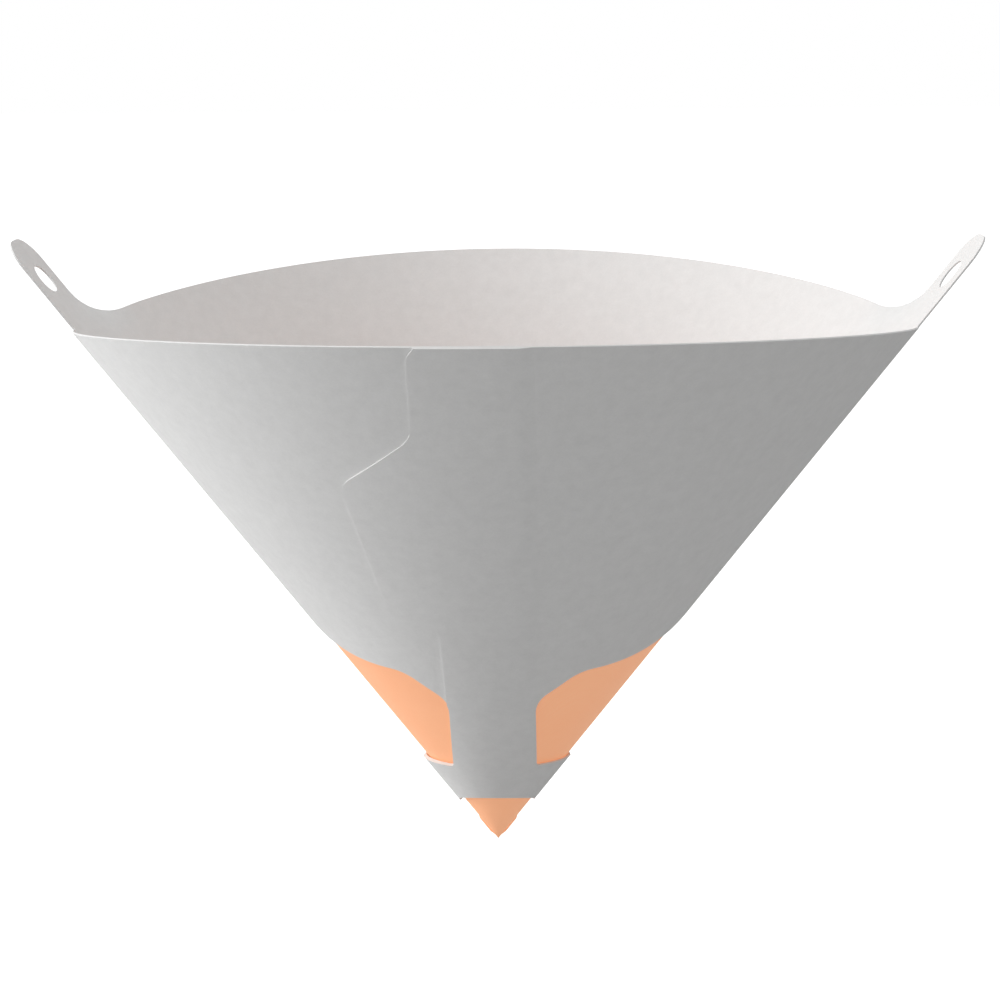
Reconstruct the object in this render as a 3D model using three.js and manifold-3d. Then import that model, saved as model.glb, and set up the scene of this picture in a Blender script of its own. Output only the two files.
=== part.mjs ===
// Cone paint strainer: a die-cut card cone with two punched ears, and the woven filter cone inside it.
// The card is drawn as a flat blank, in polar coordinates about the cone's point, and rolled up:
// every point is a distance from the point along the wall and an angle round the blank.
import * as THREE from 'three';
import Module from 'manifold-3d';

const wasm = await Module();
wasm.setup();

// Driving dimensions, in millimetres unless a name ends in _DEG
const SLANT = 135; // cone's point to the rim, along the wall
const CARD = 0.35; // card thickness
const MESH = 0.3; // woven filter thickness
const FIT_GAP = 0.3; // between the card and the filter behind it

// The open mouth, seen from above: two bulged panels that meet at the creases
const MOUTH_HALF_WIDTH = 83.6;
const FRONT_BULGE = 76;
const BACK_BULGE = 69.4;
const ROUNDNESS = 0.995; // 1 makes each panel half an ellipse, less leaves a sharper crease

// The blank's lower band, and the webs that join it to the cone between the windows
const BAND_LOW = 15;
const BAND_DIP = 3; // how much nearer to the point the lower edge runs at the creases
const BAND_TOP = 24.1;
const WEB_HALF_WIDTH = 8.5;
const WINDOW_SHOULDER = [17.8, 48.6]; // the window's highest corner, from the panel's middle line
const WINDOW_CORNER_Y = 42.9; // where the window's side turns into its sloping shoulder
const WINDOW_FALL_DEG = 17.2; // slope of the window's top from the shoulder to the crease
const WINDOW_ROUNDING = 3.2;

// The glued lap on the front panel: the outer sheet's edge with its tab, and the inner sheet's end
const LAP_TOP_X = -12;
const LAP_LOW_X = -9.2;
const TAB = { low: [-18.8, 64.7], high: [-26.3, 98.6], neck: 113.3, foot: 64 };
const LAP_ROUNDING = 3;
const LAP_END_X = 8.5;
const LAP_STEP = 1.5; // width over which the outer sheet settles past the inner sheet's end
const TAIL_DEG = 8; // how far the outer sheet's band runs on round the left crease

// The hanging ears, which carry on the back panel beyond the rim along each crease
const EAR_WIDTH = 15;
const EAR_LENGTH = 21.6;
const EAR_ROUNDING = 6;
const EAR_FILLET = 8;
const EAR_TILT_DEG = 3; // the ear's plane from square to the plane of the two creases
const EAR_CURL_FROM = 6; // the wall starts to straighten into the ear this far below the rim
const EAR_FLAT_FROM = 8; // and is flat from this far above it
const HOLE_DIAMETER = 6.5;
const HOLE_HEIGHT = 11.8;
const HOLE_INSET = 7.4;

// The filter cone, tucked behind the card
const FILTER_TOP = 74;
const FILTER_TIP_RING = 3;

const PANEL_STEPS = 40;
const radians = THREE.MathUtils.degToRad;

// One panel's rim as directions from the cone's point, with the blank angle that each one lies at
function panel(bulge) {
  const samples = 1440;
  const edge = Math.sqrt(1 - ROUNDNESS ** 2);
  const rays = [];
  const angles = [0];
  for (let i = 0; i <= samples; i += 1) {
    const across = -Math.cos((Math.PI * i) / samples);
    const rise = (Math.sqrt(1 - (ROUNDNESS * across) ** 2) - edge) / (1 - edge);
    const x = MOUTH_HALF_WIDTH * across;
    const y = bulge * rise;
    rays.push(new THREE.Vector3(x, y, Math.sqrt(SLANT ** 2 - x * x - y * y)).divideScalar(SLANT));
    if (i > 0) {
      angles.push(angles[i - 1] + rays[i].angleTo(rays[i - 1]));
    }
  }
  return { rays, angles, span: angles[samples] };
}

const FRONT = panel(-FRONT_BULGE);
const BACK = panel(BACK_BULGE);
const CREASE = FRONT.span / 2; // blank angle from the front panel's middle to either crease
const ROUND = FRONT.span + BACK.span; // the whole way round the blank

// The ray of a panel at a blank angle from its left crease
function panelRay({ rays, angles }, angle) {
  let low = 0;
  let high = angles.length - 1;
  while (high - low > 1) {
    const middle = (low + high) >> 1;
    if (angles[middle] > angle) {
      high = middle;
    } else {
      low = middle;
    }
  }
  const share = (angle - angles[low]) / (angles[high] - angles[low]);
  return rays[low].clone().lerp(rays[high], share).normalize();
}

// Blank angles run from the left crease, over the front panel's middle at 0, to the right crease,
// and on over the back panel to the left crease again
function rayAt(angle) {
  const turned = angle < -CREASE ? angle + ROUND : angle;
  return turned <= CREASE
    ? panelRay(FRONT, turned + CREASE)
    : panelRay(BACK, BACK.span - (turned - CREASE));
}

// Angle from the nearer crease, counted into the back panel, and that crease's side
function fromCrease(angle) {
  const turned = angle < -CREASE ? angle + ROUND : angle;
  const right = turned - CREASE;
  const left = BACK.span - right;
  return right < left ? { side: 1, behind: right } : { side: -1, behind: left };
}

// The flat plane that an ear lies in: along its crease, across the ear and square to both
function earAxes(side) {
  const along = rayAt(side * CREASE);
  const inward = new THREE.Vector3(-side * along.z, 0, Math.abs(along.x));
  const tilt = radians(EAR_TILT_DEG);
  const across = new THREE.Vector3(0, Math.cos(tilt), 0).addScaledVector(inward, Math.sin(tilt));
  return { along, across, outward: across.clone().cross(along).multiplyScalar(side).normalize() };
}

// The rolled place of a blank point on the card's outer face; near the ears the wall straightens
function rolled(angle, slant) {
  const place = rayAt(angle).multiplyScalar(slant);
  const { side, behind } = fromCrease(angle);
  const across = slant * Math.sin(behind);
  const flatten = THREE.MathUtils.smoothstep(slant, SLANT - EAR_CURL_FROM, SLANT + EAR_FLAT_FROM)
    * (1 - THREE.MathUtils.smoothstep(across, EAR_WIDTH + 0.5, EAR_WIDTH + 1.5 * EAR_FILLET));
  if (behind < 0 || flatten === 0) {
    return place;
  }
  const ear = earAxes(side);
  const flat = ear.along.multiplyScalar(slant * Math.cos(behind)).addScaledVector(ear.across, across);
  return place.lerp(flat, flatten);
}

// The card's outward normal at a blank point; a crease takes the mean of its two panels
function outward(angle, slant) {
  const step = radians(0.1);
  const here = rolled(angle, slant);
  const radial = rolled(angle, slant + 0.05).sub(here);
  const { side, behind } = fromCrease(angle);
  const onCrease = Math.abs(behind) < step || Math.abs(angle + CREASE) < step;
  const sides = onCrease && slant > SLANT + 0.01 ? [side] : [-1, 1];
  const normal = new THREE.Vector3();
  for (const way of sides) {
    const tangent = rolled(angle + way * step, slant).sub(here).multiplyScalar(way);
    normal.add(tangent.cross(radial).normalize());
  }
  return normal.normalize();
}

// A closed sheet over a grid of blank points: columns of [angle, slant], each with an equal number
// of rows. The faces lie at the offsets low and high from the card's outer face; keep says which
// cells are there, and a ring joins its last column to its first.
function sheet(columns, { low, high, ring = false, keep = () => true }) {
  const rows = columns[0].length;
  const across = ring ? columns.length : columns.length - 1;
  const positions = [];
  columns.forEach((column, i) => column.forEach(([angle, slant], j) => {
    const normal = outward(angle, slant);
    const place = rolled(angle, slant);
    positions.push(...place.clone().addScaledVector(normal, low(i, j)).toArray());
    positions.push(...place.clone().addScaledVector(normal, high(i, j)).toArray());
  }));
  const inner = (i, j) => 2 * ((i % columns.length) * rows + j);
  const outer = (i, j) => inner(i, j) + 1;
  const kept = (i, j) => {
    const column = ring ? (i + across) % across : i;
    return column >= 0 && column < across && j >= 0 && j < rows - 1 && keep(column, j);
  };
  const faces = [];
  const quad = (a, b, c, d) => faces.push(a, b, c, a, c, d);
  const side = (a, b) => quad(inner(...a), inner(...b), outer(...b), outer(...a));
  for (let i = 0; i < across; i += 1) {
    for (let j = 0; j < rows - 1; j += 1) {
      if (!kept(i, j)) {
        continue;
      }
      const [a, b, c, d] = [[i, j], [i + 1, j], [i + 1, j + 1], [i, j + 1]];
      quad(outer(...a), outer(...b), outer(...c), outer(...d));
      quad(inner(...d), inner(...c), inner(...b), inner(...a));
      if (!kept(i, j - 1)) side(a, b);
      if (!kept(i + 1, j)) side(b, c);
      if (!kept(i, j + 1)) side(c, d);
      if (!kept(i - 1, j)) side(d, a);
    }
  }
  return solid(positions, faces);
}

// A solid from points and triangles, with the points that no triangle uses left out
function solid(positions, faces) {
  const order = new Map();
  const vertices = [];
  const triangles = faces.map((old) => {
    if (!order.has(old)) {
      order.set(old, order.size);
      vertices.push(...positions.slice(3 * old, 3 * old + 3));
    }
    return order.get(old);
  });
  return new wasm.Manifold(new wasm.Mesh({
    numProp: 3,
    vertProperties: new Float32Array(vertices),
    triVerts: new Uint32Array(triangles),
  }));
}

// A path of straight lines with its inner corners rounded, as points in the flat blank
function roundedPath(corners, rounding, steps) {
  const path = new THREE.Path();
  const points = corners.map(([x, y]) => new THREE.Vector2(x, y));
  path.moveTo(points[0].x, points[0].y);
  for (let i = 1; i < points.length - 1; i += 1) {
    const before = points[i - 1].clone().sub(points[i]);
    const after = points[i + 1].clone().sub(points[i]);
    const cut = Math.min(rounding, before.length() / 2, after.length() / 2);
    const start = points[i].clone().addScaledVector(before.normalize(), cut);
    const end = points[i].clone().addScaledVector(after.normalize(), cut);
    path.lineTo(start.x, start.y);
    path.quadraticCurveTo(points[i].x, points[i].y, end.x, end.y);
  }
  path.lineTo(points.at(-1).x, points.at(-1).y);
  return path.getPoints(steps);
}

// The same points with more between them, so that no stretch is longer than the spacing
function closer(points, spacing) {
  return points.flatMap((point, i) => {
    const next = points[i + 1] ?? point;
    const parts = Math.max(1, Math.ceil(point.distanceTo(next) / spacing));
    return Array.from({ length: parts }, (unused, k) => point.clone().lerp(next, k / parts));
  });
}

// Slants at which a line from the cone's point at an angle crosses an outline of the blank
function slantsAt(outline, angle) {
  const direction = new THREE.Vector2(Math.sin(angle), Math.cos(angle));
  const found = [];
  outline.forEach((start, i) => {
    const end = outline[(i + 1) % outline.length];
    const a = start.cross(direction);
    const b = end.cross(direction);
    if (a * b < 0) {
      found.push(start.clone().lerp(end, a / (a - b)).dot(direction));
    }
  });
  return [Math.min(...found), Math.max(...found)];
}

// The band's lower edge, which runs nearer to the point at the creases
function bandEdge(angle) {
  const { behind } = fromCrease(angle);
  const share = 1 - Math.abs(behind) / CREASE;
  const fromMiddle = Math.abs(angle) < CREASE ? Math.abs(angle) / CREASE : share;
  return BAND_LOW - BAND_DIP * fromMiddle ** 2;
}

// Places across an ear and its root, from the crease inwards
function earColumns() {
  const round = [0, 1, 2, 3, 4].map((i) => EAR_ROUNDING * (1 - Math.cos((Math.PI * i) / 8)));
  const fillet = [1, 2, 3, 4, 5].map((i) => EAR_WIDTH + EAR_FILLET * (1 - Math.cos((Math.PI * i) / 10)));
  return [...round, EAR_WIDTH / 2, ...round.map((w) => EAR_WIDTH - w).reverse(), ...fillet];
}

// How far along the crease the ear's outline lies from the cone's point, at a place across it: a
// rounded end, a straight side and a filleted root that runs out along the rim
function earTop(across) {
  if (across > EAR_WIDTH) {
    const root = Math.min(0.99, (across - EAR_WIDTH) / EAR_FILLET);
    return Math.sqrt(SLANT ** 2 - across ** 2) + EAR_FILLET * (1 - Math.sqrt(1 - (1 - root) ** 2)) + 0.05;
  }
  const corner = Math.max(0, EAR_ROUNDING - across, across - (EAR_WIDTH - EAR_ROUNDING));
  return SLANT + EAR_LENGTH - EAR_ROUNDING + Math.sqrt(EAR_ROUNDING ** 2 - corner ** 2);
}

// The whole blank as one rolled sheet: the wall all round, and the ears beyond the rim
function cone() {
  const wallRows = [0, 0.3, 0.6, (SLANT - 2.2 * EAR_CURL_FROM) / SLANT];
  const rimRows = [SLANT - EAR_CURL_FROM, SLANT - EAR_CURL_FROM / 2, SLANT];
  const earRows = [0.12, 0.25, 0.4, 0.7, 1];
  const places = earColumns();
  const columns = [];
  const inEar = [];
  const addColumn = (angle, side, across) => {
    const edge = bandEdge(angle);
    const column = wallRows.map((share) => [angle, edge + share * (SLANT - edge)]);
    column.push(...rimRows.map((slant) => [angle, slant]));
    const base = Math.sqrt(SLANT ** 2 - across ** 2);
    const top = earTop(across);
    for (const share of earRows) {
      const along = base + share * (top - base);
      const behind = Math.atan2(across, along);
      const turned = side > 0 ? CREASE + behind : CREASE + BACK.span - behind;
      column.push([turned, Math.hypot(across, along)]);
    }
    columns.push(column);
    inEar.push(side !== 0);
  };
  for (let i = 1; i < PANEL_STEPS; i += 1) {
    addColumn(-CREASE + (i * FRONT.span) / PANEL_STEPS, 0, 0);
  }
  places.forEach((across) => addColumn(CREASE + Math.asin(across / SLANT), 1, across));
  const root = Math.asin(places.at(-1) / SLANT);
  const between = BACK.span - 2 * root;
  const backSteps = Math.round((PANEL_STEPS * between) / BACK.span);
  for (let i = 1; i < backSteps; i += 1) {
    addColumn(CREASE + root + (i * between) / backSteps, 0, 0);
  }
  [...places].reverse().forEach((across) => {
    addColumn(CREASE + BACK.span - Math.asin(across / SLANT), -1, across);
  });
  const rimRow = wallRows.length + rimRows.length - 1;
  return sheet(columns, {
    low: () => -CARD,
    high: () => 0,
    ring: true,
    keep: (i, j) => j < rimRow || (inEar[i] && inEar[(i + 1) % inEar.length]),
  });
}

// The outer sheet where it laps over the inner one, stepped out by its tab; each row runs from the
// sheet's cut edge to just past the inner sheet's end, where it settles onto the wall
function lap() {
  const edge = closer(roundedPath([
    [-WEB_HALF_WIDTH, BAND_TOP],
    [LAP_LOW_X, TAB.foot],
    TAB.low,
    TAB.high,
    [LAP_TOP_X, TAB.neck],
    [LAP_TOP_X, SLANT - 0.7],
    [LAP_TOP_X + 4, SLANT - 0.1],
  ], LAP_ROUNDING, 5), 4);
  const cuts = edge.map((point) => [Math.atan2(point.x, point.y), point.length()]);
  const tail = -CREASE - radians(TAIL_DEG);
  const seam = cuts.filter(([, slant], i) => i > 0 && slant > BAND_TOP + 0.6 && slant > cuts[i - 1][1] + 0.05);
  const band = [0, 1, 2, 3].map((i) => BAND_LOW + (i * (BAND_TOP - 1 - BAND_LOW)) / 3);
  const ledge = [0, 1, 2, 3, 4, 5, 6, 7].map((i) => i / 8);
  const ledgeFrom = tail + radians(3);
  const rows = [
    ...band.map((slant) => [tail, slant]),
    ...ledge.map((share) => [ledgeFrom + share * (seam[0][0] - ledgeFrom), BAND_TOP + 0.4 * share]),
    ...seam,
  ];
  const steps = 14;
  const settle = [LAP_END_X - LAP_STEP, LAP_END_X, LAP_END_X + LAP_STEP];
  const columns = [];
  for (let i = 0; i < steps; i += 1) {
    columns.push(rows.map(([cut, slant]) => {
      const end = Math.asin(settle[0] / slant);
      return [cut + (i / steps) * (end - cut), slant];
    }));
  }
  settle.forEach((x) => columns.push(rows.map(([, slant]) => [Math.asin(x / slant), slant])));
  columns.forEach((column) => {
    column[0] = [column[0][0], bandEdge(column[0][0])];
    column.at(-1)[1] = SLANT;
  });
  const heights = [...Array(steps).fill(CARD), CARD, 0.45 * CARD, -0.1 * CARD];
  return sheet(columns, { low: () => -0.4 * CARD, high: (i) => heights[i] });
}

// Cuts one window, which wraps round a crease: its outline on the front panel is mirrored behind
function windowCutter(side) {
  const fall = Math.tan(radians(WINDOW_FALL_DEG));
  const [shoulderX, shoulderY] = WINDOW_SHOULDER;
  const reach = 60;
  const outline = roundedPath([
    [reach, shoulderY - fall * (reach - shoulderX)],
    WINDOW_SHOULDER,
    [WEB_HALF_WIDTH, WINDOW_CORNER_Y],
    [WEB_HALF_WIDTH, Math.sqrt(BAND_TOP ** 2 - WEB_HALF_WIDTH ** 2) - 0.3],
    ...[27, 33, 39, 45, 51, 57, 63].map((degrees) => [
      BAND_TOP * Math.sin(radians(degrees)),
      BAND_TOP * Math.cos(radians(degrees)),
    ]),
  ], WINDOW_ROUNDING, 6);
  const first = Math.min(...outline.map((point) => Math.atan2(point.x, point.y))) + radians(0.05);
  const steps = 26;
  const front = [];
  for (let i = 0; i <= steps; i += 1) {
    const angle = first + (CREASE - first) * (1 - Math.cos((Math.PI * i) / (2 * steps)));
    front.push([angle, ...slantsAt(outline, angle)]);
  }
  const back = front.slice(0, -1).reverse().map(([angle, ...span]) => [2 * CREASE - angle, ...span]);
  const columns = [...front, ...back].map(([angle, low, high]) => [[angle, low], [angle, high]]);
  if (side < 0) {
    columns.forEach((column) => column.forEach((point) => {
      point[0] = -point[0];
    }));
    columns.reverse();
  }
  return sheet(columns, { low: () => -2, high: () => 2 });
}

// Middle of an ear's punched hole, on the ear's outer face
function holePlace(side) {
  const { along, across } = earAxes(side);
  return along.multiplyScalar(SLANT + HOLE_HEIGHT).addScaledVector(across, HOLE_INSET);
}

// Cuts one ear's round hole
function holeCutter(side) {
  const geometry = new THREE.CylinderGeometry(HOLE_DIAMETER / 2, HOLE_DIAMETER / 2, 4, 32);
  const turn = new THREE.Quaternion().setFromUnitVectors(new THREE.Vector3(0, 1, 0), earAxes(side).outward);
  geometry.applyQuaternion(turn);
  geometry.translate(...holePlace(side).toArray());
  return fromGeometry(geometry);
}

// A solid from a closed geometry whose corners are doubled for shading
function fromGeometry(geometry) {
  const { position } = geometry.attributes;
  const places = new Map();
  const positions = [];
  const merged = Array.from({ length: position.count }, (unused, i) => {
    const point = new THREE.Vector3().fromBufferAttribute(position, i);
    const key = point.toArray().map((value) => value.toFixed(4)).join();
    if (!places.has(key)) {
      places.set(key, places.size);
      positions.push(...point.toArray());
    }
    return places.get(key);
  });
  return solid(positions, Array.from(geometry.index.array, (i) => merged[i]));
}

// The woven filter: a cone of its own behind the card, open at its hidden top and closed at its tip
function filterCone() {
  const outside = -CARD - FIT_GAP;
  const faces = [];
  const positions = [];
  const rows = [FILTER_TIP_RING, FILTER_TOP];
  const angles = [];
  for (let i = 0; i < PANEL_STEPS; i += 1) {
    angles.push(-CREASE + (i * FRONT.span) / PANEL_STEPS);
  }
  for (let i = 0; i < PANEL_STEPS; i += 1) {
    angles.push(CREASE + (i * BACK.span) / PANEL_STEPS);
  }
  for (const offset of [outside, outside - MESH]) {
    const lift = -offset / rayAt(CREASE).x;
    positions.push(0, 0, lift);
    for (const angle of angles) {
      for (const slant of rows) {
        positions.push(...rolled(angle, slant).addScaledVector(outward(angle, slant), offset).toArray());
      }
    }
  }
  const shell = 1 + rows.length * angles.length;
  const at = (layer, i, row) => layer * shell + 1 + rows.length * (i % angles.length) + row;
  for (let i = 0; i < angles.length; i += 1) {
    const [a, b] = [at(0, i, 0), at(0, i + 1, 0)];
    const [c, d] = [at(0, i, 1), at(0, i + 1, 1)];
    const inward = shell;
    faces.push(0, b, a, a, b, d, a, d, c);
    faces.push(shell, a + inward, b + inward, a + inward, d + inward, b + inward);
    faces.push(a + inward, c + inward, d + inward);
    faces.push(c, d, d + inward, c, d + inward, c + inward);
  }
  return solid(positions, faces);
}

// A named piece from a solid, with the hanging point between the two ear holes as the origin
function piece(name, body, look) {
  const { numProp, vertProperties, triVerts } = body.getMesh();
  const positions = new Float32Array((vertProperties.length / numProp) * 3);
  for (let i = 0; i < positions.length / 3; i += 1) {
    positions.set(vertProperties.subarray(i * numProp, i * numProp + 3), i * 3);
  }
  const geometry = new THREE.BufferGeometry();
  geometry.setAttribute('position', new THREE.BufferAttribute(positions, 3));
  geometry.setIndex(new THREE.BufferAttribute(new Uint32Array(triVerts), 1));
  geometry.computeVertexNormals();
  const mesh = new THREE.Mesh(geometry, new THREE.MeshStandardMaterial(look));
  mesh.name = name;
  return mesh;
}

const card = cone()
  .add(lap())
  .subtract(windowCutter(1))
  .subtract(windowCutter(-1))
  .subtract(holeCutter(1))
  .subtract(holeCutter(-1));

const strainer = new THREE.Group();
strainer.name = 'paint_strainer';
strainer.add(piece('paper_cone', card, { color: 0xd3d3d3, roughness: 0.85, metalness: 0 }));
strainer.add(piece('filter_mesh', filterCone(), { color: 0xf0a878, roughness: 0.7, metalness: 0 }));
const hang = holePlace(1);
strainer.position.set(0, -hang.y, -hang.z);

export default strainer;
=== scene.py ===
import math

import bpy
import numpy as np
from mathutils import Matrix, Vector


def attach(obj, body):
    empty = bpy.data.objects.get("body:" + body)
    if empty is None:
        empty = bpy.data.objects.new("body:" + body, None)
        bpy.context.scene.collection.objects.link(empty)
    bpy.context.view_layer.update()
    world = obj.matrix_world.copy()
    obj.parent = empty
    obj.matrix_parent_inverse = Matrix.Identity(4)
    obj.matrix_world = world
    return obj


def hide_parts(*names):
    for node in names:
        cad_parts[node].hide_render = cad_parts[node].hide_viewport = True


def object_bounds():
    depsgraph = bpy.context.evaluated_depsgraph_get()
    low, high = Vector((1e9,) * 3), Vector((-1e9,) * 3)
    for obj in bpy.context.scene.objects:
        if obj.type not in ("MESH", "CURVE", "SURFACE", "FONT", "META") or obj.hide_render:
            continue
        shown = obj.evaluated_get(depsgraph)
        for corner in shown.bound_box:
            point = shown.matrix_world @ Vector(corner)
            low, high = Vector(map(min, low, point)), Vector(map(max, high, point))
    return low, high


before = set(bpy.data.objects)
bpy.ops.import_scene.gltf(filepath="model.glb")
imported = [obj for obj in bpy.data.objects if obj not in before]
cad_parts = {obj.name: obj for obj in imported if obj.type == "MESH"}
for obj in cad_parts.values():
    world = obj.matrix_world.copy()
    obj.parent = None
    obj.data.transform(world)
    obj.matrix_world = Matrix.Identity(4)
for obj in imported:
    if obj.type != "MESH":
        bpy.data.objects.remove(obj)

# The CAD model's box, whose bottom sets the floor's height
cad_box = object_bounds()

# Driving dimensions of the strainer: lengths in metres, angles in radians, the rest plain ratios
SLANT = 0.135
CARD = 0.00035
MOUTH_HALF_WIDTH = 0.0836
FRONT_BULGE = 0.076
BACK_BULGE = 0.0694
ROUNDNESS = 0.995
BAND_LOW = 0.015
BAND_DIP = 0.003
BAND_TOP = 0.0241
WEB_HALF_WIDTH = 0.0085
WINDOW_SHOULDER = (0.0178, 0.0486)
WINDOW_CORNER_Y = 0.0429
WINDOW_FALL = math.tan(math.radians(17.2))
WINDOW_ROUNDING = 0.0032
WINDOW_BAND_END = math.radians(24)
LAP_END_X = 0.0085
LAP_SETTLE = 0.0015
LAP_TOP_X = -0.012
LAP_LOW_X = -0.0092
LAP_ROUNDING = 0.003
TAB_NECK = 0.1133
TAB_HIGH = (-0.0263, 0.0986)
TAB_LOW = (-0.0188, 0.0647)
TAB_FOOT = 0.064
TAIL = math.radians(8)
LAP_BAND_END = -math.radians(22)
LAP_FAR_ANGLE = 0.65
EAR_WIDTH = 0.015
EAR_LENGTH = 0.0216
EAR_ROUNDING = 0.006
EAR_FILLET = 0.008
EAR_TILT = math.radians(3)
EAR_ROOT_REACH = 0.025
EAR_BLEND_RIM = (0.006, 0.008)
EAR_BLEND_SIDE = (0.0005, 0.012)
HOLE_RADIUS = 0.00325
HOLE_HEIGHT = 0.0118
HOLE_INSET = 0.0074
EAR_STOCK = 1.19
WASTE_REACH = 0.03
WASTE_MARGIN = 0.004
FILTER_RING = 0.003
FILTER_TOP = 0.074
FILTER_INSET = 0.00065
FILTER_THICKNESS = 0.0003
TIP_SLOPE = 0.62

# Steps of the meshes: along the slant, round the front, an ear's root and the filter's back half
CARD_ROWS = 40
LAP_ROWS = 46
FILTER_ROWS = 60
FRONT_STEPS = 140
EAR_ROOT_STEPS = 20
FILTER_BACK_STEPS = 70
BACK_STEP_ANGLE = 0.013

# Camera: angles in degrees, distance and target height in slants, focal length in sensor widths
# for each slant of distance, shifts in sensor widths
CAMERA_ANGLES = (2.43, 11.76, -0.52)
CAMERA_DISTANCE = 4.0
CAMERA_TARGET = 0.42
CAMERA_FOCAL = 0.6704
CAMERA_SHIFT = (0.004, 0.0732)

# Finishes
CARD_PAPER = (0.82, 0.82, 0.815)
CARD_CLOUD = (0.74, 0.74, 0.735)
CARD_FLOCKS = 420
CARD_RELIEF = 0.35
# Darker nylon: the threads' random unevenness, and painted shade in the hollows between the threads
NYLON_DARK_TONE_AND_GAP_SHADE = (0.74, 0.31, 0.15, 1)
NYLON_THREAD = (0.80, 0.42, 0.24, 1)
# Strength of the nylon's emission, a painted glow for the light coming through the weave
NYLON_PAINTED_GLOW = 0.52
WEAVE_PITCH = 0.00032
WEAVE_TURN = math.radians(38)
BLANK_MAP_SCALE = 10

# Studio: an even light, a soft key from the left and a weaker lamp above, each lamp with its
# name, place, size and watts
WORLD_LIGHT = 0.4
FLOOR_DROP = 0.06
KEY_LIGHT = ("key", (-0.95, -0.12, 0.25), 0.6, 7.2)
TOP_LIGHT = ("top", (0, -0.2, 1.0), 0.6, 3.4)


# Camera: the photograph's view, a little above the rim and a little to the right of the seam
def make_camera():
    azimuth, elevation, roll = (math.radians(a) for a in CAMERA_ANGLES)
    distance = CAMERA_DISTANCE * SLANT
    target = Vector((0, 0, CAMERA_TARGET * SLANT)) - HANG
    level_share = math.cos(elevation)
    back = Vector((math.sin(azimuth) * level_share, -math.cos(azimuth) * level_share, math.sin(elevation)))
    level = Vector((math.cos(azimuth), math.sin(azimuth), 0))
    upright = back.cross(level)
    right = math.cos(roll) * level + math.sin(roll) * upright
    up = math.cos(roll) * upright - math.sin(roll) * level
    bpy.ops.object.camera_add()
    camera = bpy.context.object
    turn = Matrix((right, up, back)).transposed().to_4x4()
    camera.matrix_world = Matrix.Translation(target + back * distance) @ turn
    camera.data.lens = camera.data.sensor_width * CAMERA_FOCAL * CAMERA_DISTANCE
    camera.data.shift_x, camera.data.shift_y = CAMERA_SHIFT
    bpy.context.scene.camera = camera


# The blank's geometry: rays from the cone's point along the rim, by angle round the blank
def panel(bulge):
    t = -np.cos(np.linspace(0, np.pi, 4001))
    edge = math.sqrt(1 - ROUNDNESS**2)
    x = MOUTH_HALF_WIDTH * t
    y = bulge * (np.sqrt(1 - (ROUNDNESS * t) ** 2) - edge) / (1 - edge)
    rays = np.stack([x, y, np.sqrt(SLANT**2 - x * x - y * y)], 1) / SLANT
    return rays, np.concatenate([[0], np.cumsum(np.linalg.norm(np.diff(rays, axis=0), axis=1))])


FRONT_RAYS, FRONT_ANGLES = panel(-FRONT_BULGE)
BACK_RAYS, BACK_ANGLES = panel(BACK_BULGE)
CREASE = FRONT_ANGLES[-1] / 2
HALF_ROUND = CREASE + BACK_ANGLES[-1] / 2


# Rays of a panel at the wanted angles, each one unit long
def lookup(rays, angles, wanted):
    found = np.stack([np.interp(wanted, angles, rays[:, k]) for k in range(3)], 1)
    return found / np.linalg.norm(found, axis=1)[:, None]


# Rays at blank angles: 0 is the front's middle, and both ends meet in the back's middle
def rays_at(angle):
    beyond = np.abs(angle) - CREASE
    front = lookup(FRONT_RAYS, FRONT_ANGLES, angle + CREASE)
    side = np.sign(angle)
    from_left = np.where(side < 0, beyond, BACK_ANGLES[-1] - beyond)
    back = lookup(BACK_RAYS, BACK_ANGLES, np.clip(from_left, 0, BACK_ANGLES[-1]))
    return np.where((beyond > 0)[:, None], back, front)


# Rises smoothly from 0 at the low value to 1 at the high one
def smooth_step(value, low, high):
    share = np.clip((value - low) / (high - low), 0, 1)
    return share * share * (3 - 2 * share)


# An ear's plane: along its crease, and across it towards the back
def ear_axes(side):
    along = rays_at(np.array([side * CREASE]))[0]
    inward = np.array([-side * along[2], 0, abs(along[0])])
    across = math.cos(EAR_TILT) * np.array([0, 1, 0]) + math.sin(EAR_TILT) * inward
    return along, across


def hole_place(side):
    along, across = ear_axes(side)
    return along * (SLANT + HOLE_HEIGHT) + across * HOLE_INSET


# The middle between the two ear holes, where the strainer hangs and the frame has its origin
HANG = Vector((0, hole_place(1)[1], hole_place(1)[2]))


# The rolled place of blank points; near the ears the wall straightens into the ear's plane
def rolled(angle, slant):
    place = rays_at(angle) * slant[:, None]
    behind = np.abs(angle) - CREASE
    across = slant * np.sin(np.maximum(behind, 0))
    above = smooth_step(slant, SLANT - EAR_BLEND_RIM[0], SLANT + EAR_BLEND_RIM[1])
    past = smooth_step(across, EAR_WIDTH + EAR_BLEND_SIDE[0], EAR_WIDTH + EAR_BLEND_SIDE[1])
    flatten = np.where(behind > 0, above * (1 - past), 0)
    for side in (-1, 1):
        along, square = ear_axes(side)
        flat = along * (slant * np.cos(behind))[:, None] + square * across[:, None]
        share = np.where(np.sign(angle) == side, flatten, 0)[:, None]
        place = place * (1 - share) + flat * share
    return place


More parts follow.
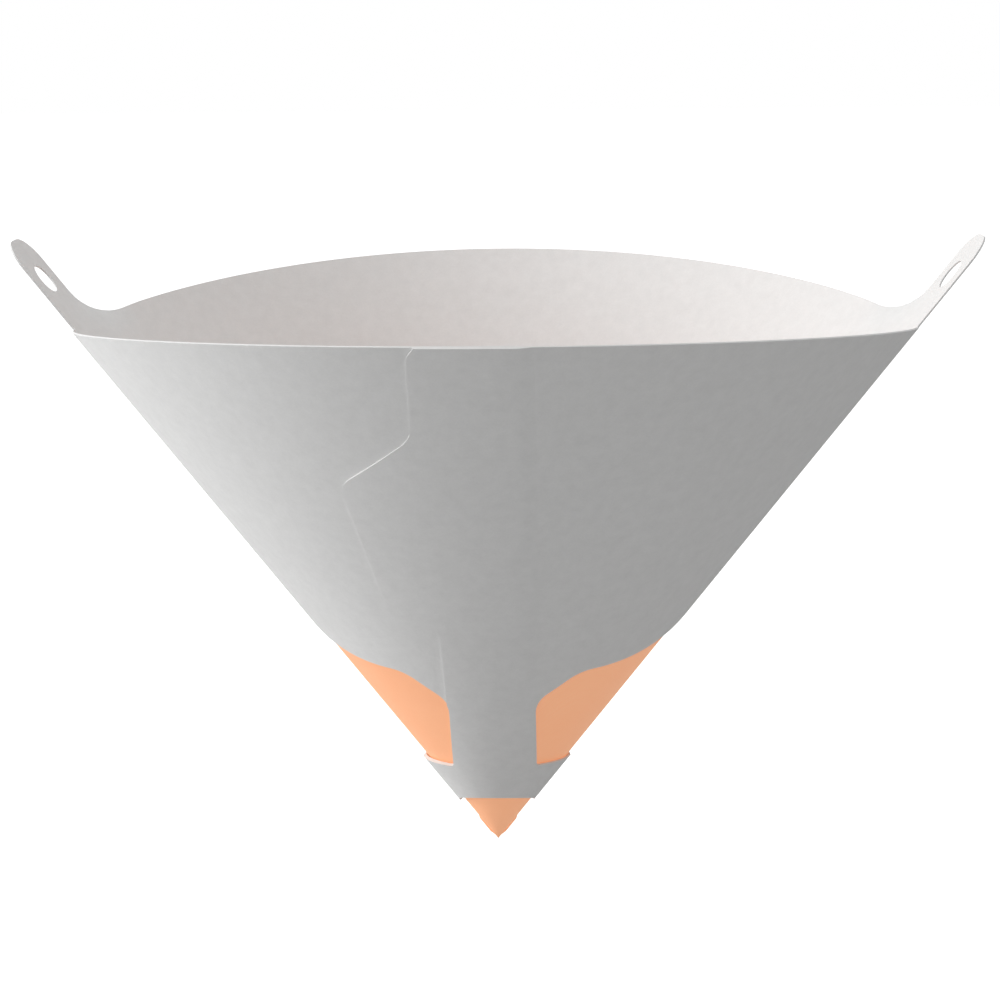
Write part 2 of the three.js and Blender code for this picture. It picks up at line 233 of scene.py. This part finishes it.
# Outward normals of the rolled wall, from short steps round it and along the slant
def normals(angle, slant):
    step = 0.0015
    rise = 5e-5
    beyond_rim = slant > SLANT + 1e-5
    total = np.zeros((len(angle), 3))
    here = rolled(angle, slant)
    radial = rolled(angle, slant + rise) - here
    for way in (-1, 1):
        tangent = way * (rolled(angle + way * step, slant) - here)
        normal = np.cross(tangent, radial)
        normal /= np.linalg.norm(normal, axis=1)[:, None]
        on_crease = np.abs(np.abs(angle) - CREASE) < step
        inward_side = on_crease & beyond_rim & (np.sign(angle) != way)
        total += np.where(inward_side[:, None], 0, normal)
    return total / np.linalg.norm(total, axis=1)[:, None]


def deselect():
    if bpy.context.object and bpy.context.object.mode != "OBJECT":
        bpy.ops.object.mode_set(mode="OBJECT")
    bpy.ops.object.select_all(action="DESELECT")


def take(obj):
    deselect()
    obj.select_set(True)
    bpy.context.view_layer.objects.active = obj


# Opens a piece for editing with only the chosen corners, edges or faces selected
def edit_only(obj, kind, chosen):
    take(obj)
    mesh = obj.data
    for parts in (mesh.vertices, mesh.edges, mesh.polygons):
        parts.foreach_set("select", np.zeros(len(parts), dtype=bool))
    target = {"VERT": mesh.vertices, "EDGE": mesh.edges, "FACE": mesh.polygons}[kind]
    target.foreach_set("select", np.array(chosen, dtype=bool))
    bpy.context.tool_settings.mesh_select_mode = (kind == "VERT", kind == "EDGE", kind == "FACE")
    bpy.ops.object.mode_set(mode="EDIT")


# Leaves edit mode and goes back to choosing corners
def close_edit():
    bpy.ops.object.mode_set(mode="OBJECT")
    bpy.context.tool_settings.mesh_select_mode = (True, False, False)


def coordinates(mesh):
    values = np.empty(3 * len(mesh.vertices))
    mesh.vertices.foreach_get("co", values)
    return values.reshape(-1, 3)


def set_coordinates(mesh, values):
    mesh.vertices.foreach_set("co", np.ascontiguousarray(values).ravel())
    mesh.update()


# A flat sector of the blank: one radial line, subdivided and spun about the cone's point
def flat_sector(name, stretches, low, high, rows):
    deselect()
    bpy.ops.mesh.primitive_plane_add(size=1)
    obj = bpy.context.object
    obj.name = name
    edit_only(obj, "VERT", [vertex.co.x > 0 for vertex in obj.data.vertices])
    bpy.ops.mesh.delete(type="VERT")
    close_edit()
    start = stretches[0][0]
    for vertex in obj.data.vertices:
        slant = high if vertex.co.y > 0 else low
        vertex.co = (slant * math.sin(start), slant * math.cos(start), 0)
    bpy.ops.object.mode_set(mode="EDIT")
    bpy.ops.mesh.select_all(action="SELECT")
    bpy.ops.mesh.subdivide(number_cuts=rows - 1)
    for begin, end, steps in stretches:
        bpy.ops.mesh.spin(steps=steps, angle=end - begin, center=(0, 0, 0), axis=(0, 0, 1))
    bpy.ops.mesh.select_all(action="SELECT")
    bpy.ops.mesh.remove_doubles(threshold=1e-7)
    bpy.ops.object.mode_set(mode="OBJECT")
    return obj


# Gives a flat sheet its thickness, between two heights
def thicken(obj, low, high):
    take(obj)
    bpy.ops.object.mode_set(mode="EDIT")
    bpy.ops.mesh.select_all(action="SELECT")
    bpy.ops.mesh.extrude_region_move(TRANSFORM_OT_translate={"value": (0, 0, high - low)})
    bpy.ops.mesh.select_all(action="SELECT")
    bpy.ops.transform.translate(value=(0, 0, low))
    bpy.ops.mesh.normals_make_consistent(inside=False)
    bpy.ops.object.mode_set(mode="OBJECT")


# A flat punch: a filled circle whose corners take an outline, extruded through the sheet
def punch(name, outline, low=-0.002, high=0.002):
    deselect()
    bpy.ops.mesh.primitive_circle_add(vertices=len(outline), radius=1, fill_type="NGON")
    obj = bpy.context.object
    obj.name = name
    for vertex, (x, y) in zip(obj.data.vertices, outline):
        vertex.co = (x, y, 0)
    thicken(obj, low, high)
    return obj


# Cuts a piece with a tool, or joins or overlaps them, and throws the tool away
def cut(obj, tool, operation="DIFFERENCE"):
    take(obj)
    modifier = obj.modifiers.new("cut", "BOOLEAN")
    modifier.object = tool
    modifier.operation = operation
    modifier.solver = "EXACT"
    bpy.ops.object.modifier_apply(modifier=modifier.name)
    bpy.data.objects.remove(tool, do_unlink=True)


# An outline of straight lines with rounded corners
def rounded(corners, radius, steps=8, closed=True):
    points = []
    count = len(corners)
    for i, corner in enumerate(corners):
        here = Vector(corner)
        if not closed and i in (0, count - 1):
            points.append(tuple(here))
            continue
        before = Vector(corners[i - 1]) - here
        after = Vector(corners[(i + 1) % count]) - here
        reach = min(radius, before.length / 2, after.length / 2)
        start = here + before.normalized() * reach
        end = here + after.normalized() * reach
        for k in range(steps + 1):
            t = k / steps
            points.append(tuple((1 - t) ** 2 * start + 2 * t * (1 - t) * here + t * t * end))
    return points


# A blank point from its slant and its angle
def polar(slant, angle):
    return slant * math.sin(angle), slant * math.cos(angle)


# Half a window on the front panel, mirrored in the crease to its half behind
def window_outline(side):
    crease = Vector((math.sin(CREASE), math.cos(CREASE)))
    shoulder_x, shoulder_y = WINDOW_SHOULDER
    low_y = math.sqrt(BAND_TOP**2 - WEB_HALF_WIDTH**2)
    top = (shoulder_y + WINDOW_FALL * shoulder_x) / (crease.y + WINDOW_FALL * crease.x)
    band = [polar(BAND_TOP, CREASE - k * (CREASE - WINDOW_BAND_END) / 16) for k in range(1, 16)]
    corners = [*band, (WEB_HALF_WIDTH, low_y), (WEB_HALF_WIDTH, WINDOW_CORNER_Y), WINDOW_SHOULDER]
    corners = [polar(BAND_TOP, CREASE), *corners, tuple(crease * top)]
    front = [Vector(point) for point in rounded(corners, WINDOW_ROUNDING, closed=False)]
    mirror = [2 * point.dot(crease) * crease - point for point in reversed(front[1:-1])]
    return [(side * point.x, point.y) for point in front + mirror]


# The waste beside an ear's outline, in the blank: what is left of it is the ear
def ear_waste_outline(side):
    quarter = [k * math.pi / 16 for k in range(9)]
    clear = 0.00004
    base = SLANT + 0.0001
    far = SLANT + WASTE_REACH
    centre = SLANT + EAR_LENGTH - EAR_ROUNDING
    arc = [(EAR_ROUNDING * (1 - math.cos(a)), centre + EAR_ROUNDING * math.sin(a)) for a in quarter]
    outline = [(WASTE_REACH, far), (-WASTE_MARGIN, far), (-WASTE_MARGIN, base), (0, base)]
    outline += arc
    outline += [(EAR_WIDTH - across, along) for across, along in reversed(arc)]
    for a in quarter:
        across = EAR_WIDTH + EAR_FILLET * (1 - math.cos(a))
        along = math.sqrt(SLANT**2 - across**2) + EAR_FILLET * (1 - math.sin(a)) + clear
        outline.append((across, along))
    outline.append((WASTE_REACH, math.sqrt(SLANT**2 - WASTE_REACH**2) + clear))
    return [from_crease(side, across, along) for across, along in outline]


# The hole punched through an ear, in the blank
def hole_outline(side):
    outline = []
    for a in np.linspace(0, 2 * math.pi, 49)[:-1]:
        across = HOLE_INSET + HOLE_RADIUS * math.cos(a)
        along = SLANT + HOLE_HEIGHT + HOLE_RADIUS * math.sin(a)
        outline.append(from_crease(side, across, along))
    return outline


# A blank point from its place across and along an ear's crease
def from_crease(side, across, along):
    slant = math.hypot(across, along)
    x, y = polar(slant, CREASE + math.atan2(across, along))
    return side * x, y


# The band's lower edge runs nearer to the point at the creases
def dip_band(obj):
    points = coordinates(obj.data)
    angle = np.arctan2(points[:, 0], points[:, 1])
    slant = np.hypot(points[:, 0], points[:, 1])
    turned = np.abs(angle)
    from_middle = np.where(turned < CREASE, turned / CREASE, 1 - (turned - CREASE) / CREASE)
    edge = BAND_LOW - BAND_DIP * from_middle**2
    lowered = edge + (slant - BAND_LOW) * (SLANT - edge) / (SLANT - BAND_LOW)
    slant = np.where(slant < SLANT, lowered, slant)
    points[:, 0] = slant * np.sin(angle)
    points[:, 1] = slant * np.cos(angle)
    set_coordinates(obj.data, points)


# Rolls a flat piece up: its height becomes the offset from the card's outer face
def roll_up(obj, height):
    flat = coordinates(obj.data)
    angle = np.arctan2(flat[:, 0], flat[:, 1])
    slant = np.hypot(flat[:, 0], flat[:, 1])
    place = rolled(angle, slant) + normals(angle, slant) * height(flat)[:, None]
    blank = obj.data.uv_layers.new(name="blank")
    uv = flat[:, :2][[loop.vertex_index for loop in obj.data.loops]] * BLANK_MAP_SCALE
    blank.data.foreach_set("uv", uv.ravel())
    set_coordinates(obj.data, place - np.array(HANG))


# Merges the seams, turns all faces outwards and smooths all but the sharp edges
def finish_mesh(obj, merge, smooth_degrees):
    take(obj)
    bpy.ops.object.mode_set(mode="EDIT")
    bpy.ops.mesh.select_all(action="SELECT")
    bpy.ops.mesh.remove_doubles(threshold=merge)
    bpy.ops.mesh.dissolve_degenerate(threshold=merge)
    bpy.ops.mesh.normals_make_consistent(inside=False)
    bpy.ops.object.mode_set(mode="OBJECT")
    bpy.ops.object.shade_smooth_by_angle(angle=math.radians(smooth_degrees))


# The card: wall and ears cut from one flat blank, with the lapping sheet laid on, then rolled up
def make_card():
    ear_root = math.asin(EAR_ROOT_REACH / SLANT)
    root_end = CREASE + ear_root
    back_steps = round((HALF_ROUND - CREASE - ear_root) / BACK_STEP_ANGLE)
    stretches = [
        (-HALF_ROUND, -root_end, back_steps),
        (-root_end, -CREASE, EAR_ROOT_STEPS),
        (-CREASE, CREASE, FRONT_STEPS),
        (CREASE, root_end, EAR_ROOT_STEPS),
        (root_end, HALF_ROUND, back_steps),
    ]
    blank = flat_sector("strainer_card", stretches, BAND_LOW, SLANT, CARD_ROWS)
    extrude_ears(blank, ear_root)
    dip_band(blank)
    thicken(blank, -CARD, 0)
    for side in (-1, 1):
        cut(blank, punch("ear_waste", ear_waste_outline(side)))
        cut(blank, punch("ear_hole", hole_outline(side)))
    cut(blank, make_lap(), "UNION")
    for side in (-1, 1):
        cut(blank, punch("window", window_outline(side)))
    drop_end_walls(blank)
    roll_up(blank, card_height)
    finish_mesh(blank, 1e-5, 35)
    return blank


# Pulls the rim's edges behind each crease out into the card that the ears are cut from
def extrude_ears(obj, ear_root):
    chosen = []
    for edge in obj.data.edges:
        ends = [obj.data.vertices[i].co for i in edge.vertices]
        angles = [abs(math.atan2(end.x, end.y)) for end in ends]
        on_rim = all(end.length > SLANT - 1e-6 for end in ends)
        chosen.append(on_rim and min(angles) > CREASE - 1e-4 and max(angles) < CREASE + ear_root + 1e-4)
    edit_only(obj, "EDGE", chosen)
    steps = 8
    for _ in range(steps):
        bpy.ops.mesh.extrude_edges_move()
        bpy.ops.transform.resize(value=(EAR_STOCK ** (1 / steps),) * 3, center_override=(0, 0, 0))
    close_edit()


# The outer sheet's lap over the inner one, with its tab and its tail round the left crease
def make_lap():
    left = -CREASE - TAIL
    sector = flat_sector("lap", [(left - 0.05, 0.7, 190)], BAND_LOW, SLANT, LAP_ROWS)
    dip_band(sector)
    thicken(sector, -0.4 * CARD, CARD)
    end_x = LAP_END_X + LAP_SETTLE
    above = SLANT + 0.01
    below = 0.006
    outline = [
        polar(BAND_LOW - 0.002, LAP_FAR_ANGLE),
        (end_x, 0.02),
        (end_x, above),
        (-0.0085, above),
        (-0.0105, SLANT - 0.0005),
        (LAP_TOP_X, SLANT - 0.0025),
        (LAP_TOP_X, TAB_NECK),
        TAB_HIGH,
        TAB_LOW,
        (LAP_LOW_X, TAB_FOOT),
        (-WEB_HALF_WIDTH - 0.0001, 0.024),
    ]
    outline = rounded(outline, LAP_ROUNDING, closed=False)
    band = [polar(BAND_TOP, left + k * (LAP_BAND_END - left) / 16) for k in range(17)]
    outline += list(reversed(band)) + [polar(below, left)]
    outline += [polar(below, left + k * (LAP_FAR_ANGLE - left) / 20) for k in range(1, 20)]
    cut(sector, punch("lap_outline", outline), "INTERSECT")
    return sector


# Height of a blank point off the rolled wall: the lap settles past the inner sheet's end
def card_height(flat):
    x, height = flat[:, 0], flat[:, 2]
    settled = 1 - 0.98 * smooth_step(x, LAP_END_X - LAP_SETTLE, LAP_END_X + LAP_SETTLE)
    return np.where(height > 1e-7, height * settled, height)


# Takes off the blank's two end walls, which meet when it is rolled up
def drop_end_walls(obj):
    flat = coordinates(obj.data)
    at_end = np.abs(np.abs(np.arctan2(flat[:, 0], flat[:, 1])) - HALF_ROUND) < 1e-4
    edit_only(obj, "FACE", [all(at_end[i] for i in polygon.vertices) for polygon in obj.data.polygons])
    bpy.ops.mesh.delete(type="FACE")
    close_edit()


# The woven filter: a flat sector rolled up behind the card and closed at its tip
def make_filter():
    stretches = [
        (-HALF_ROUND, -CREASE, FILTER_BACK_STEPS),
        (-CREASE, CREASE, FRONT_STEPS),
        (CREASE, HALF_ROUND, FILTER_BACK_STEPS),
    ]
    sheet = flat_sector("woven_filter", stretches, FILTER_RING, FILTER_TOP, FILTER_ROWS)
    roll_up(sheet, lambda flat: np.full(len(flat), -FILTER_INSET))
    take(sheet)
    bpy.ops.object.mode_set(mode="EDIT")
    bpy.ops.mesh.select_all(action="SELECT")
    bpy.ops.mesh.remove_doubles(threshold=1e-6)
    bpy.ops.object.mode_set(mode="OBJECT")
    close_tip(sheet)
    solidify = sheet.modifiers.new("thickness", "SOLIDIFY")
    solidify.thickness = FILTER_THICKNESS
    solidify.offset = -1
    bpy.ops.object.modifier_apply(modifier=solidify.name)
    finish_mesh(sheet, 1e-6, 50)
    return sheet


# Draws the smallest ring of the filter in to a point
def close_tip(obj):
    points = coordinates(obj.data) + np.array(HANG)
    slant = np.linalg.norm(points, axis=1)
    inner = slant < FILTER_RING + 0.0004
    edit_only(obj, "EDGE", [all(inner[i] for i in edge.vertices) for edge in obj.data.edges])
    bpy.ops.mesh.extrude_edges_move()
    bpy.ops.mesh.merge(type="CENTER")
    close_edit()
    tip = min(obj.data.vertices, key=lambda vertex: (vertex.co + HANG).to_2d().length)
    tip.co = Vector((0, 0, FILTER_INSET / TIP_SLOPE)) - HANG


# An empty shader node group with named inputs and outputs
def new_group(name, outputs, inputs):
    group = bpy.data.node_groups.new(name, "ShaderNodeTree")
    for socket, kind, value in inputs:
        item = group.interface.new_socket(socket, in_out="INPUT", socket_type=kind)
        item.default_value = value
    for socket, kind in outputs:
        group.interface.new_socket(socket, in_out="OUTPUT", socket_type=kind)
    return group, group.nodes.new("NodeGroupInput"), group.nodes.new("NodeGroupOutput")


def noise(nodes, scale, detail, roughness=0.6):
    node = nodes.new("ShaderNodeTexNoise")
    node.inputs["Scale"].default_value = scale
    node.inputs["Detail"].default_value = detail
    node.inputs["Roughness"].default_value = roughness
    return node


def math_node(nodes, links, operation, a, b=None, clamp=False):
    node = nodes.new("ShaderNodeMath")
    node.operation = operation
    node.use_clamp = clamp
    for socket, value in zip(node.inputs, (a, b)):
        if value is None:
            continue
        if isinstance(value, (int, float)):
            socket.default_value = value
        else:
            links.new(value, socket)
    return node.outputs[0]


def mix_colour(nodes, links, factor, a, b):
    node = nodes.new("ShaderNodeMix")
    node.data_type = "RGBA"
    for socket, value in zip((node.inputs[0], node.inputs[6], node.inputs[7]), (factor, a, b)):
        if isinstance(value, (int, float, tuple)):
            socket.default_value = value
        else:
            links.new(value, socket)
    return node.outputs[2]


# Clouded paper: soft flocks of fibre, a fine grain and single fibres, as a colour and a height
def paper_fibre_group():
    group, start, end = new_group(
        "paper_fibre",
        [("Color", "NodeSocketColor"), ("Height", "NodeSocketFloat")],
        [
            ("Paper", "NodeSocketColor", (0.8, 0.8, 0.8, 1)),
            ("Cloud", "NodeSocketColor", (0.7, 0.7, 0.7, 1)),
            ("Flock Scale", "NodeSocketFloat", 260.0),
        ],
    )
    nodes, links = group.nodes, group.links
    place = nodes.new("ShaderNodeTexCoord").outputs["Object"]
    flocks = noise(nodes, 260, 4, 0.65)
    links.new(start.outputs["Flock Scale"], flocks.inputs["Scale"])
    grain = noise(nodes, 2600, 3, 0.7)
    broad = noise(nodes, 45, 2, 0.5)
    for node in (flocks, grain, broad):
        links.new(place, node.inputs["Vector"])
    stretch = nodes.new("ShaderNodeMapping")
    stretch.inputs["Scale"].default_value = (900, 900, 260)
    stretch.inputs["Rotation"].default_value = (0.5, 0.4, 0.2)
    links.new(place, stretch.inputs["Vector"])
    fibres = noise(nodes, 1.0, 2, 0.6)
    links.new(stretch.outputs[0], fibres.inputs["Vector"])
    soft = math_node(nodes, links, "MULTIPLY_ADD", flocks.outputs[0], 1.5)
    links.new(math_node(nodes, links, "MULTIPLY", grain.outputs[0], 0.9), soft.node.inputs[2])
    cloud = math_node(nodes, links, "SUBTRACT", soft, 0.7, clamp=True)
    blended = mix_colour(nodes, links, cloud, start.outputs["Cloud"], start.outputs["Paper"])
    shade = math_node(nodes, links, "MULTIPLY", broad.outputs[0], 0.25)
    toned = mix_colour(nodes, links, shade, blended, start.outputs["Cloud"])
    links.new(toned, end.inputs["Color"])
    fibre_height = math_node(nodes, links, "MULTIPLY", fibres.outputs[0], 0.8)
    grain_height = math_node(nodes, links, "MULTIPLY", grain.outputs[0], 0.5)
    flock_height = math_node(nodes, links, "MULTIPLY", flocks.outputs[0], 0.9)
    fine_height = math_node(nodes, links, "ADD", fibre_height, grain_height)
    links.new(math_node(nodes, links, "ADD", fine_height, flock_height), end.inputs["Height"])
    return group


# Plain weave on the flat blank's own map: two crossed sets of round threads
def weave_group():
    group, start, end = new_group(
        "woven_threads",
        [("Threads", "NodeSocketFloat"), ("Height", "NodeSocketFloat"), ("Tone", "NodeSocketFloat")],
        [("Pitch", "NodeSocketFloat", WEAVE_PITCH)],
    )
    nodes, links = group.nodes, group.links
    blank = nodes.new("ShaderNodeUVMap")
    blank.uv_map = "blank"
    turn = nodes.new("ShaderNodeMapping")
    turn.inputs["Scale"].default_value = (1 / BLANK_MAP_SCALE, 1 / BLANK_MAP_SCALE, 1)
    turn.inputs["Rotation"].default_value = (0, 0, WEAVE_TURN)
    links.new(blank.outputs[0], turn.inputs["Vector"])
    split = nodes.new("ShaderNodeSeparateXYZ")
    links.new(turn.outputs[0], split.inputs[0])
    turns = math_node(nodes, links, "DIVIDE", 2 * math.pi, start.outputs["Pitch"])
    round_threads = []
    for place in (split.outputs[0], split.outputs[1]):
        phase = math_node(nodes, links, "MULTIPLY", place, turns)
        wave = math_node(nodes, links, "SINE", phase)
        lifted = math_node(nodes, links, "MULTIPLY_ADD", wave, 0.5)
        lifted.node.inputs[2].default_value = 0.5
        round_threads.append(lifted)
    threads = math_node(nodes, links, "MAXIMUM", *round_threads)
    links.new(threads, end.inputs["Threads"])
    links.new(threads, end.inputs["Height"])
    uneven = noise(nodes, 90, 3, 0.6)
    links.new(nodes.new("ShaderNodeTexCoord").outputs["Object"], uneven.inputs["Vector"])
    links.new(uneven.outputs[0], end.inputs["Tone"])
    return group


def new_material(name):
    material = bpy.data.materials.new(name)
    material.use_nodes = True
    tree = material.node_tree
    return material, tree.nodes, tree.links, tree.nodes["Principled BSDF"]


def bump(nodes, links, height, distance, strength, shader):
    node = nodes.new("ShaderNodeBump")
    node.inputs["Distance"].default_value = distance
    node.inputs["Strength"].default_value = strength
    links.new(height, node.inputs["Height"])
    links.new(node.outputs[0], shader.inputs["Normal"])


# Matt card, clouded and softly rough
def paper_material(name, group, paper, cloud, flocks, strength):
    material, nodes, links, shader = new_material(name)
    fibre = nodes.new("ShaderNodeGroup")
    fibre.node_tree = group
    fibre.inputs["Paper"].default_value = (*paper, 1)
    fibre.inputs["Cloud"].default_value = (*cloud, 1)
    fibre.inputs["Flock Scale"].default_value = flocks
    links.new(fibre.outputs["Color"], shader.inputs["Base Color"])
    bump(nodes, links, fibre.outputs["Height"], 0.00006, strength, shader)
    shader.inputs["Roughness"].default_value = 0.85
    shader.inputs["Specular IOR Level"].default_value = 0.25
    return material


# Orange nylon threads, with a painted glow: emission that stands in for the light coming through the weave
def weave_material(group):
    material, nodes, links, shader = new_material("woven_nylon")
    weave = nodes.new("ShaderNodeGroup")
    weave.node_tree = group
    uneven = math_node(nodes, links, "MULTIPLY", weave.outputs["Tone"], 0.4)
    toned = mix_colour(nodes, links, uneven, NYLON_THREAD, NYLON_DARK_TONE_AND_GAP_SHADE)
    # Darker where the weave is low: painted shade in the hollows between the threads
    colour = mix_colour(nodes, links, weave.outputs["Threads"], NYLON_DARK_TONE_AND_GAP_SHADE, toned)
    links.new(colour, shader.inputs["Base Color"])
    # The thread colour also feeds the emission: a painted glow, as the filter is no lamp
    links.new(colour, shader.inputs["Emission Color"])
    shader.inputs["Emission Strength"].default_value = NYLON_PAINTED_GLOW
    shader.inputs["Roughness"].default_value = 0.55
    bump(nodes, links, weave.outputs["Height"], 0.00008, 0.35, shader)
    return material


# The floor, which the camera sees as white
def make_floor():
    deselect()
    bpy.ops.mesh.primitive_plane_add(size=12, location=(0, 0, cad_box[0][2] - FLOOR_DROP))
    floor = bpy.context.object
    floor.name = "studio_floor"
    material, nodes, links, shader = new_material("studio_white")
    shader.inputs["Base Color"].default_value = (0.6, 0.6, 0.6, 1)
    shader.inputs["Roughness"].default_value = 1.0
    shader.inputs["Specular IOR Level"].default_value = 0.0
    shader.inputs["Emission Color"].default_value = (1, 1, 1, 1)
    seen = nodes.new("ShaderNodeLightPath")
    links.new(seen.outputs["Is Camera Ray"], shader.inputs["Emission Strength"])
    floor.data.materials.append(material)


# The studio's even light, and white wherever the camera sees past the strainer
def make_world():
    world = bpy.data.worlds.new("studio")
    world.use_nodes = True
    bpy.context.scene.world = world
    tree = world.node_tree
    nodes, links = tree.nodes, tree.links
    background = nodes["Background"]
    background.inputs["Color"].default_value = (1, 1, 1, 1)
    path = nodes.new("ShaderNodeLightPath")
    seen = math_node(nodes, links, "MAXIMUM", path.outputs["Is Camera Ray"], path.outputs["Is Glossy Ray"])
    seen = math_node(nodes, links, "MAXIMUM", seen, path.outputs["Is Transmission Ray"])
    strength = math_node(nodes, links, "MULTIPLY_ADD", seen, 1 - WORLD_LIGHT)
    strength.node.inputs[2].default_value = WORLD_LIGHT
    links.new(strength, background.inputs["Strength"])


# A round soft lamp turned to the origin
def area_light(name, place, size, watts):
    bpy.ops.object.light_add(type="AREA", location=place)
    light = bpy.context.object
    light.name = name
    light.data.shape = "DISK"
    light.data.size = size
    light.data.energy = watts
    light.rotation_euler = (-Vector(place)).to_track_quat("-Z", "Y").to_euler()


make_camera()
card = make_card()
woven = make_filter()

card_face = paper_material("card_face", paper_fibre_group(), CARD_PAPER, CARD_CLOUD, CARD_FLOCKS, CARD_RELIEF)
card.data.materials.clear()
card.data.materials.append(card_face)
woven.data.materials.clear()
woven.data.materials.append(weave_material(weave_group()))

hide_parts("paper_cone")
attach(card, "root")
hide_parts("filter_mesh")
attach(woven, "root")

make_floor()
make_world()
area_light(*KEY_LIGHT)
area_light(*TOP_LIGHT)

scene = bpy.context.scene
scene.view_settings.view_transform = "Standard"
